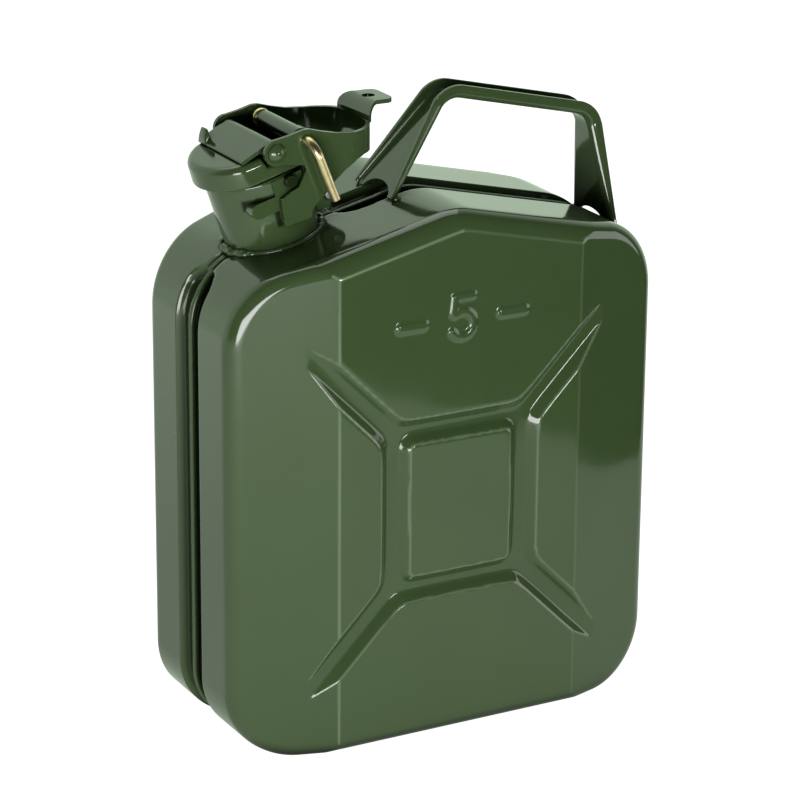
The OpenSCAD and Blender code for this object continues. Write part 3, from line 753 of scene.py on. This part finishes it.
def strap_path(shape):
    """Corner points of the handle's strap: foot, bend, bend, foot."""
    outline = Outline(shape)
    grip_z = float(roof(shape, shape.bend_left)) + shape.grip
    over = shape.foot_right - outline.high_x
    return np.array([
        [shape.foot_left, float(roof(shape, shape.foot_left))],
        [shape.bend_left, grip_z],
        [shape.bend_right, grip_z - math.tan(shape.slope) * (shape.bend_right - shape.bend_left)],
        [shape.foot_right, outline.high + math.sqrt(shape.shoulder**2 - over**2)],
    ])


def strap_half(shape, path, points):
    """Half width of the strap: broad at its feet and narrow from the bends up."""
    left = points[:, 0] < shape.bend_left
    foot = np.where(left, path[0][1], path[3][1])
    narrow = np.where(left, path[1][1], path[2][1]) - shape.bend / 2
    share = np.clip((points[:, 1] - foot) / (narrow - foot), 0, 1)
    return shape.handle_half + share * (shape.grip_half - shape.handle_half)


def strap_run(shape, steps):
    """Points along the strap, their outward directions, and how tall the turned edges are there."""
    path = strap_path(shape)
    ways = np.diff(path, axis=0)
    ways /= np.linalg.norm(ways, axis=1)[:, None]
    outs = np.stack([-ways[:, 1], ways[:, 0]], 1)
    starts, ends, arcs = [path[0]], [], []
    for i in (1, 2):
        turn = math.acos(float(ways[i - 1] @ ways[i]))
        middle = ways[i] - ways[i - 1]
        centre = path[i] + shape.bend / math.cos(turn / 2) * middle / np.linalg.norm(middle)
        back = shape.bend * math.tan(turn / 2)
        ends.append(path[i] - back * ways[i - 1])
        starts.append(path[i] + back * ways[i])
        first, last = np.arctan2(outs[i - 1 : i + 1, 1], outs[i - 1 : i + 1, 0])
        arcs.append((centre, np.linspace(first, last, 14)[1:-1]))
    ends.append(path[3])
    points, normals = [], []
    for leg in range(3):
        for share in np.linspace(0, 1, steps[leg]):
            points.append(starts[leg] + share * (ends[leg] - starts[leg]))
            normals.append(outs[leg])
        for a in arcs[leg][1] if leg < 2 else ():
            way = np.array([math.cos(a), math.sin(a)])
            points.append(arcs[leg][0] + shape.bend * way)
            normals.append(way)
    points, normals = np.array(points), np.array(normals)
    rise = np.ones(len(points))
    rise[: steps[0]] = np.linspace(0, 1, steps[0])
    rise[-steps[2] :] = np.linspace(1, 0, steps[2])
    return points, normals, rise


def bend_handle(shape):
    """The strap with its turned edges, along its bends from foot to foot."""
    steps = (34, 30, 26)
    points, normals, rise = strap_run(shape, steps)
    run = run_along(points)
    first, last = run[steps[0] - 1], run[-steps[2]]
    path = strap_path(shape)
    # The strap's edges turn up round a small bend, and its feet reach a little into the welds
    bend, sunk = 2.2, 1.2
    edge = shape.handle_half - shape.strap / 2
    inner = edge - bend
    # Section from one turned edge across the web to the other: place across a foot, share of the turned
    # edge's height, and height in the bent corner
    one_side = [(edge, share, bend) for share in (1.0, 0.75, 0.45, 0.2, 0.0)]
    for a in np.radians([22.5, 45, 67.5, 90]):
        one_side.append((edge - bend * (1 - math.cos(a)), 0.0, bend * (1 - math.sin(a))))
    one_side += [(y, 0.0, 0.0) for y in np.linspace(inner, shape.arch, 5)[1:]]
    arch_turns = np.radians([80, 70, 60, 48, 36, 24, 12])
    one_side += [(shape.arch * math.sin(a), 0.0, 0.0) for a in arch_turns]
    section = [(-y, share, low) for y, share, low in one_side] + [(0.0, 0.0, 0.0)] + one_side[::-1]
    columns = []
    for y, share, low in section:
        cut = shape.arch_rise * math.sqrt(max(0.0, 1 - (y / shape.arch) ** 2))
        foot = cut - sunk
        at = np.where(run < first, foot + (first - foot) * run / first, run)
        tail = (run - last) / (run[-1] - last)
        at = np.where(run > last, last + tail * (run[-1] - last - foot), at)
        base = np.stack([np.interp(at, run, points[:, k]) for k in (0, 1)], 1)
        before, after = at < 0, at > run[-1]
        base[before] += (points[1] - points[0]) / (run[1] - run[0]) * at[before][:, None]
        base[after] += (points[-1] - points[-2]) / (run[-1] - run[-2]) * (at[after] - run[-1])[:, None]
        out = np.stack([np.interp(at, run, normals[:, k]) for k in (0, 1)], 1)
        out /= np.linalg.norm(out, axis=1)[:, None]
        grown = np.interp(at, run, rise)
        tall = shape.foot_flange + grown * (shape.flange - shape.foot_flange) - shape.strap / 2
        p = base + (shape.strap / 2 + low + share * (tall - bend))[:, None] * out
        half = strap_half(shape, path, base) - shape.strap / 2
        across = half - edge + abs(y) if abs(y) > inner else abs(y) * (half - bend) / inner
        columns.append(np.stack([p[:, 0], math.copysign(1, y) * across, p[:, 1]], -1))
    verts = np.stack(columns, 1)
    faces = grid_faces(grid(*verts.shape[:2]))[:, [0, 3, 2, 1]]
    handle = piece_from("carrying_handle", verts, faces)
    modify(handle, "sheet", "SOLIDIFY", thickness=shape.strap * MM, offset=0.0, use_even_offset=True)
    modify(
        handle, "broken_edges", "BEVEL", width=0.4 * MM, segments=2, limit_method="ANGLE",
        angle_limit=math.radians(50),
    )
    put(handle, "can", "paint", "handle")


def weld_feet(shape):
    """A bead on each side of the arch in each foot, with round ends."""
    path = strap_path(shape)
    thick, lumps, sway, pitch, broad, steps, sides = 1.75, 0.3, 0.25, 3.1, 1.15, 26, 12
    verts, faces = [], []
    for foot, seed in ((0, 0.3), (3, 2.1)):
        for side in (-1, 1):
            y = np.linspace(shape.arch + 0.8, shape.handle_half + 0.6, steps)
            spread = weld_ripple(y, pitch, seed + side)
            ends = np.sqrt(np.clip(1 - ((y - y.mean()) / (y.max() - y.mean() + 0.1)) ** 4, 0.02, 1))
            size = ((thick + lumps * spread) * ends)[:, None]
            level = np.full(steps, path[foot][1] + 0.1)
            line = np.stack([path[foot][0] + sway * spread, side * y, level], -1)
            ahead = np.gradient(line, axis=0)
            across = np.cross(ahead / np.linalg.norm(ahead, axis=1)[:, None], UP)
            up = np.tile(UP, (steps, 1))
            faces += tube_faces(grid(steps, sides) + len(verts) * steps * sides, False)
            verts.append(bead(line, broad * size * across, size * up, full_turn(sides)))
    beads = piece_from("handle_foot_beads", verts, faces)
    put(beads, "can", "paint", "handle_welds")


class CAN_OT_handle(bpy.types.Operator):
    """Bend the carrying handle and weld its feet to the roof"""

    bl_idname = "jerry_can.handle"
    bl_label = "Handle"

    def execute(self, context):
        shape = in_millimetres(context.scene.can_shape)
        bend_handle(shape)
        weld_feet(shape)
        return {"FINISHED"}


def soft_patch(x, z, x_span, z_span):
    """One inside a rectangle and zero outside it, with a soft edge."""
    edge, inside = 1.2, 1.0
    for v, (low, high) in ((x, x_span), (z, z_span)):
        inside = inside * smooth_step((v - low) / edge + 0.5) * smooth_step((high - v) / edge + 0.5)
    return inside


def turn_neck(shape):
    """The neck as one turned sheet, with painted shade about the closure."""
    grow = (shape.neck_top - shape.neck_foot) / shape.neck_height
    top, wall, mouth = shape.neck_height, shape.wall, shape.mouth
    foot, rim, wall_rows = -7, 1.5, 60
    # Radius and height, up the outside of the wall, over the rim to the mouth and down the inside
    profile = [(shape.neck_foot + grow * h, h) for h in np.linspace(foot, top - rim, wall_rows)]
    for a in np.radians([25, 50, 70, 90]):
        profile.append((shape.neck_top - rim * (1 - math.cos(a)), top - rim * (1 - math.sin(a))))
    profile += [(r, top) for r in (20.5, 19, mouth + 0.5)]
    profile += [(mouth, top - 0.4), (mouth, top - wall + 0.4), (mouth + 0.4, top - wall)]
    profile += [(r, top - wall) for r in (19, 20.4)]
    profile += [(shape.neck_foot - wall + grow * h, h) for h in np.linspace(top - wall - 1, foot, 18)]
    turns = full_turn(240)
    radius, along = np.array(profile).T[..., None]
    lateral = radius * np.cos(turns)
    verts = from_neck(shape, lateral, radius * np.sin(turns), along)
    neck = piece_from("filler_neck", verts, tube_faces(grid(*lateral.shape), True))
    # Painted shadow on the wall behind the claws, under the catches and over their fingers
    spots = (((-5.0, 0.2), (11.0, 22.0)), ((-5.0, 13.0), (11.0, 14.0)), ((-16.5, -2.0), (22.0, 27.3)))
    painted_shade = 0.85 * np.max([soft_patch(lateral, along, *spans) for spans in spots], axis=0)
    painted_shade[wall_rows:] = 0
    mark(neck, PAINTED_SHADE, painted_shade.ravel())
    put(neck, "can", "paint", "neck")


def weld_neck(shape):
    """The bead round the neck's foot, laid along the slope of the roof."""
    base = neck_axes(shape)[0]
    slope = shape.slope
    along = np.array([math.cos(slope), 0, math.sin(slope)])
    up = np.array([-math.sin(slope), 0, math.cos(slope)])
    turns = full_turn(280)
    run = turns * shape.neck_foot
    round_trip = 2 * math.pi * shape.neck_foot
    # The bead is thin and even along the faces and lumpy at its two ends
    ends = smooth_step((np.abs(np.cos(turns)) - 0.72) / 0.2)
    swell = weld_ripple(run, round_trip / 23, 0.7) + 0.5 * weld_ripple(run, round_trip / 51, 2.2)
    swell = swell * (0.1 + 0.6 * ends)
    reach = shape.neck_foot + 0.4 + 0.35 * swell
    ring = np.cos(turns)[:, None] * along + np.sin(turns)[:, None] * ACROSS
    line = base + reach[:, None] * ring + (0.25 + 0.3 * swell)[:, None] * up
    sides = full_turn(16)
    width, height = 1.5 + 1.2 * ends + 0.55 * swell, 1.3 + 0.9 * ends + 0.5 * swell
    verts = bead(line, width[:, None] * ring, height[:, None] * up, sides)
    lumps = 0.18 * ends[:, None] * np.sin(37 * turns[:, None] + 3 * sides[None, :])
    faces = tube_faces(grid(len(turns), len(sides)), True)
    weld = piece_from("neck_weld_bead", verts + lumps[:, :, None] * up, faces)
    put(weld, "can", "paint", "neck_weld")


class CAN_OT_neck(bpy.types.Operator):
    """Turn the filler neck, weld it to the roof and line it with its breather tube"""

    bl_idname = "jerry_can.neck"
    bl_label = "Filler Neck"

    def execute(self, context):
        shape = in_millimetres(context.scene.can_shape)
        turn_neck(shape)
        weld_neck(shape)
        put_copies("can", "paint", ("breather_tube", "vent_tube", 0.2))
        return {"FINISHED"}


class CAN_OT_catches(bpy.types.Operator):
    """Set the catches and the hinge ears on the neck"""

    bl_idname = "jerry_can.catches"
    bl_label = "Catches and Hinge"

    def execute(self, context):
        put_copies("can", "paint", ("side_catches", "catch_plates", 0.5))
        # Painted shade: the studs sit deep in the claws and are marked dark all over
        studs = copy_of_node("catch_studs", "catch_pins", 0.5)
        mark(studs, PAINTED_SHADE, np.full(len(studs.data.vertices), 0.8))
        put(studs, "can", "paint", "catch_pins")
        put_copies("can", "paint", ("hinge_ears", "hinge_bracket", 0.4))
        put_copies("can", "steel", ("hinge_rod", "hinge_pin", 0.4))
        return {"FINISHED"}


def press_cup(shape):
    """A round cup whose sides flatten beside the lever and whose top steps down to a deck under it."""
    tall, deck, deck_from, step = 10.6, 6.3, -2.6, 1.4
    round_r, flat, edge, notch_at, notch_half = 28.0, 23.5, 3.2, 23.0, 6.0
    recess_r, recess_top = 21.6, 3.8
    low = shape.cap_top - tall
    turns = full_turn(240)
    reach = soft_min(round_r, flat / np.maximum(np.abs(np.sin(turns)), 0.3), 2.0)
    # Rings from the middle of the underside round the wall to the middle of the top: radius, height, and
    # whether the height is counted from the top
    inner = ((0.2, recess_top), (recess_r, recess_top), (recess_r, 0.0))
    rings = [(np.full_like(turns, r), h, 0) for r, h in inner]
    outer = ((0.5, 0.0), (0.15, 0.15), (0.0, 0.5), (0.0, 1.2), (0.0, 2.4))
    rings += [(reach - inset, h, 0) for inset, h in outer]
    for a in np.radians(np.arange(0, 91, 15)):
        rings.append((reach - edge * (1 - math.cos(a)), -edge * (1 - math.sin(a)), 1))
    rings += [((reach - edge) * share, 0.0, 1) for share in np.linspace(0.96, 0.01, 26)]
    verts = []
    for radius, height, from_top in rings:
        lateral, y = radius * np.cos(turns), radius * np.sin(turns)
        lateral = np.where(np.abs(y) < notch_half, np.minimum(lateral, notch_at), lateral)
        top = deck + (tall - deck) * smooth_step((deck_from - lateral) / step)
        verts.append(from_neck(shape, lateral, y, low + height + from_top * top))
    faces = tube_faces(grid(len(rings), len(turns)), False)
    put(piece_from("pressed_cap", np.concatenate(verts), faces), "cap", "paint", "cap")


def roll_bridge(shape):
    """One sheet: from its lip on the cap it rises to the roll round the rivet, and a lug curls up there."""
    pivot, roll, sheet, half_w, edge = np.array([2.2, 45.7]), 4.4, 1.6, 22.0, 0.3
    lip = np.array([-13.5, shape.cap_top])
    turns = np.radians(np.linspace(101, -170, 28))
    rolled = pivot + roll * np.stack([np.cos(turns), np.sin(turns)], 1)
    lip_top = lip + (0.6, sheet)
    under = lip + (0.6, 0) + (rolled[0] - lip_top) * 0.62
    rounded = [lip + (0, sheet * 0.4), lip + (0.2, sheet * 0.8), lip_top]
    section = np.array([*rounded, *rolled, under, lip + (0.3, 0)])
    y = np.array([-half_w, edge - half_w, half_w - edge, half_w])
    verts = from_neck(shape, section[None, :, 0], y[:, None], section[None, :, 1])
    lug_y, lug_half, lug_tall, lug_curl, seat = 18.0, 3.9, 6.4, 2.6, 0.5
    across = np.linspace(-1, 1, 15)
    up = np.linspace(0, 1, 9)[:, None]
    tall = lug_tall * (1 - np.abs(across) ** 3.5) ** 0.5 + 0.3
    curl = lip[0] + seat + lug_curl * up**2
    lug = from_neck(shape, curl, lug_y + lug_half * across, lip[1] + seat + up * tall)
    leaf = piece_from("bridge_lug", lug, grid_faces(grid(len(up), len(across))))
    modify(leaf, "sheet", "SOLIDIFY", thickness=1.3 * MM, offset=0.0)
    put(leaf, "cap", "paint", "cap_bridge")
    faces = tube_faces(grid(*verts.shape[:2]), False)
    plate = piece_from("rolled_bridge", verts, faces)
    modify(plate, "flat_faces", "WEIGHTED_NORMAL", keep_sharp=True)
    put(plate, "cap", "paint", "cap_bridge")


class CAN_OT_cap(bpy.types.Operator):
    """Press the cap, its bridge and hinge arm, and lay its gasket"""

    bl_idname = "jerry_can.cap"
    bl_label = "Cap"

    def execute(self, context):
        shape = in_millimetres(context.scene.can_shape)
        press_cup(shape)
        put_copies("cap", "rubber", ("cap_seal", "cap_gasket", 0.5))
        roll_bridge(shape)
        rows = ("cap_arm", "cap_hinge_arm", 0.4), ("domed_rivet", "pivot_rivet", 0.2)
        put_copies("cap", "paint", *rows)
        return {"FINISHED"}


class CAN_OT_lever(bpy.types.Operator):
    """Fold the cam lever with its two cheeks and thumb tab"""

    bl_idname = "jerry_can.lever"
    bl_label = "Cam Lever"

    def execute(self, context):
        put_copies("lever", "paint", ("cam_lever", "lever", 0.45))
        return {"FINISHED"}


class CAN_OT_pin(bpy.types.Operator):
    """Bend the locking pin and slide on its sleeve"""

    bl_idname = "jerry_can.pin"
    bl_label = "Locking Pin"

    def execute(self, context):
        put_copies("locking_pin", "paint", ("pin_sleeve", "pin_tube", 0.4))
        put_copies("locking_pin", "zinc", ("bent_pin", "locking_pin", 0.3))
        return {"FINISHED"}


def room_tint(tree, paths, studio):
    """White straight on, and the colour of the walls in everything that mirrors them."""
    mix = add_node(
        tree, "ShaderNodeMix", {"data_type": "RGBA", "A": studio.walls, "B": (1.0, 1.0, 1.0, 1.0)},
        {"Factor": paths.outputs["Is Camera Ray"]},
    )
    return mix.outputs[2]


def seen_or_mirrored(tree, paths, strength):
    """Full light straight on, and the given strength in what mirrors it."""
    mirrored = add_node(
        tree, "ShaderNodeMath", {"operation": "MULTIPLY"}, {0: paths.outputs["Is Glossy Ray"], 1: strength}
    )
    seen = add_node(
        tree, "ShaderNodeMath", {"operation": "MAXIMUM"},
        {0: paths.outputs["Is Camera Ray"], 1: mirrored.outputs["Value"]},
    )
    return seen.outputs["Value"]


def lay_floor(studio):
    """A sheet of pale paper on a table."""
    # The table's near edge runs aslant, so that the upper face and the far panel mirror the dark room
    half_w, back, near_left, near_right = 1.6, 2.0, -3.48, 1.87
    corners = [(-half_w, near_left, 0), (half_w, near_right, 0), (half_w, back, 0), (-half_w, back, 0)]
    mesh = bpy.data.meshes.new("pale_floor")
    mesh.from_pydata(corners, [], [(0, 1, 2, 3)])
    floor = new_object("pale_floor", mesh)
    # Matt pale paper, lifted to white for the camera so that only the shadow shows on it
    material = blank_material("matt_pale_paper")
    tree = material.node_tree
    paths = add_node(tree, "ShaderNodeLightPath")
    paper = add_node(tree, "ShaderNodeBsdfDiffuse", {"Color": studio.floor})
    place = add_node(tree, "ShaderNodeTexCoord").outputs["Object"]
    parts = add_node(tree, "ShaderNodeSeparateXYZ", links={"Vector": place})
    # The paper is lit more at the back, which the narrow sides mirror
    lit = add_node(
        tree, "ShaderNodeMapRange", {"From Min": 0.2, "From Max": 0.7, "To Min": 0.45, "To Max": 0.85},
        {"Value": parts.outputs["Y"]},
    )
    seen = seen_or_mirrored(tree, paths, lit.outputs["Result"])
    tint = room_tint(tree, paths, studio)
    lift = add_node(tree, "ShaderNodeEmission", links={"Color": tint, "Strength": seen})
    both = add_node(
        tree, "ShaderNodeAddShader", links={0: paper.outputs["BSDF"], 1: lift.outputs["Emission"]}
    )
    add_node(tree, "ShaderNodeOutputMaterial", links={"Surface": both.outputs["Shader"]})
    mesh.materials.append(material)


def light_room(studio):
    """White behind the can, faint light above, and dark below the table."""
    world = bpy.data.worlds.new("white_studio")
    world.use_nodes = True
    tree = world.node_tree
    tree.nodes.clear()
    paths = add_node(tree, "ShaderNodeLightPath")
    way = add_node(tree, "ShaderNodeTexCoord").outputs["Generated"]
    parts = add_node(tree, "ShaderNodeSeparateXYZ", links={"Vector": way})
    # Soft light falls from above, and the room below the table's edge is dark
    above = add_node(
        tree, "ShaderNodeMapRange", {"From Min": -0.1, "From Max": 0.6, "To Min": 0.01, "To Max": 0.05},
        {"Value": parts.outputs["Z"]},
    )
    # The backdrop behind the can is white, also in the paint's reflections
    behind = add_node(
        tree, "ShaderNodeMapRange", {"From Min": 0.0, "From Max": 0.4, "To Min": 0.0, "To Max": 1.05},
        {"Value": parts.outputs["Y"]},
    )
    seen = seen_or_mirrored(tree, paths, behind.outputs["Result"])
    strength = add_node(
        tree, "ShaderNodeMath", {"operation": "MAXIMUM"}, {0: seen, 1: above.outputs["Result"]}
    )
    tint = room_tint(tree, paths, studio)
    light = add_node(
        tree, "ShaderNodeBackground", links={"Color": tint, "Strength": strength.outputs["Value"]}
    )
    add_node(tree, "ShaderNodeOutputWorld", links={"Surface": light.outputs["Background"]})
    bpy.context.scene.world = world


def place_camera(studio):
    """The camera, turned so that the picture's frame is the photograph's."""
    a, e = studio.azimuth, studio.elevation
    ahead = Vector((-math.sin(a) * math.cos(e), math.cos(a) * math.cos(e), -math.sin(e)))
    right = Vector((math.cos(a), math.sin(a), 0))
    up = right.cross(ahead)
    c, s = math.cos(studio.roll), math.sin(studio.roll)
    right, up = c * right + s * up, c * up - s * right
    # The picture's middle lies a little to the left of and below the line of sight, in pixels
    sensor, picture, left, below = 36, 800, 12.58, 20.06
    pixels = studio.lens / sensor * picture
    ahead = (ahead - right * (left / pixels) - up * (below / pixels)).normalized()
    right = (right - right.dot(ahead) * ahead).normalized()
    up = right.cross(ahead)
    data = bpy.data.cameras.new("camera")
    data.lens = studio.lens
    data.sensor_width = sensor
    data.clip_end = 20
    camera = new_object("camera", data)
    turn = Matrix((right, up, -ahead)).transposed().to_4x4()
    camera.matrix_world = Matrix.Translation(Vector(studio.eye)) @ turn
    bpy.context.scene.camera = camera


def hang_soft_box(name, place, size, watts):
    """A rectangular lamp that faces the middle of the can."""
    data = bpy.data.lights.new(name, "AREA")
    data.shape = "RECTANGLE"
    data.size, data.size_y = size
    data.energy = watts
    lamp = new_object(name, data)
    lamp.location = place
    middle = Vector((0, 0, 0.14))
    lamp.rotation_euler = (middle - Vector(place)).to_track_quat("-Z", "Y").to_euler()


class CAN_OT_studio(bpy.types.Operator):
    """Lay the floor, hang the soft boxes and place the camera"""

    bl_idname = "jerry_can.studio"
    bl_label = "Studio"

    def execute(self, context):
        studio = context.scene.can_studio
        lay_floor(studio)
        light_room(studio)
        place_camera(studio)
        hang_soft_box("key_soft_box", (-0.58, -0.8, 0.08), (0.62, 0.42), studio.key)
        hang_soft_box("front_soft_box", (0.3, -1.5, 0.15), (0.3, 0.15), studio.front)
        hang_soft_box("top_soft_box", (0.1, 0.6, 1.6), (1.4, 1.0), studio.top)
        hang_soft_box("side_soft_box", (1.3, -0.66, 0.3), (1.0, 0.7), studio.side)
        context.scene.view_settings.view_transform = "Standard"
        return {"FINISHED"}


STEPS = (
    CAN_OT_tank, CAN_OT_seam, CAN_OT_handle, CAN_OT_neck, CAN_OT_catches, CAN_OT_cap, CAN_OT_lever,
    CAN_OT_pin, CAN_OT_studio,
)


class CAN_PT_panel(bpy.types.Panel):
    """Steps and sizes of the jerry can"""

    bl_idname = "CAN_PT_panel"
    bl_label = "Jerry Can"
    bl_space_type = "VIEW_3D"
    bl_region_type = "UI"
    bl_category = "Jerry Can"

    def draw(self, context):
        for step in STEPS:
            self.layout.operator(step.bl_idname)
        for group in (context.scene.can_shape, context.scene.can_finish, context.scene.can_studio):
            box = self.layout.box()
            for item in group.bl_rna.properties:
                if item.identifier not in ("rna_type", "name"):
                    box.prop(group, item.identifier)


CLASSES = (CanShape, CanFinish, CanStudio) + STEPS + (CAN_PT_panel,)


def register():
    for each in CLASSES:
        bpy.utils.register_class(each)
    bpy.types.Scene.can_shape = PointerProperty(type=CanShape)
    bpy.types.Scene.can_finish = PointerProperty(type=CanFinish)
    bpy.types.Scene.can_studio = PointerProperty(type=CanStudio)


def unregister():
    del bpy.types.Scene.can_studio
    del bpy.types.Scene.can_finish
    del bpy.types.Scene.can_shape
    for each in reversed(CLASSES):
        bpy.utils.unregister_class(each)


def main():
    register()
    bpy.ops.jerry_can.tank()
    bpy.ops.jerry_can.seam()
    bpy.ops.jerry_can.handle()
    bpy.ops.jerry_can.neck()
    bpy.ops.jerry_can.catches()
    bpy.ops.jerry_can.cap()
    bpy.ops.jerry_can.lever()
    bpy.ops.jerry_can.pin()
    bpy.ops.jerry_can.studio()


if __name__ == "__main__":
    main()
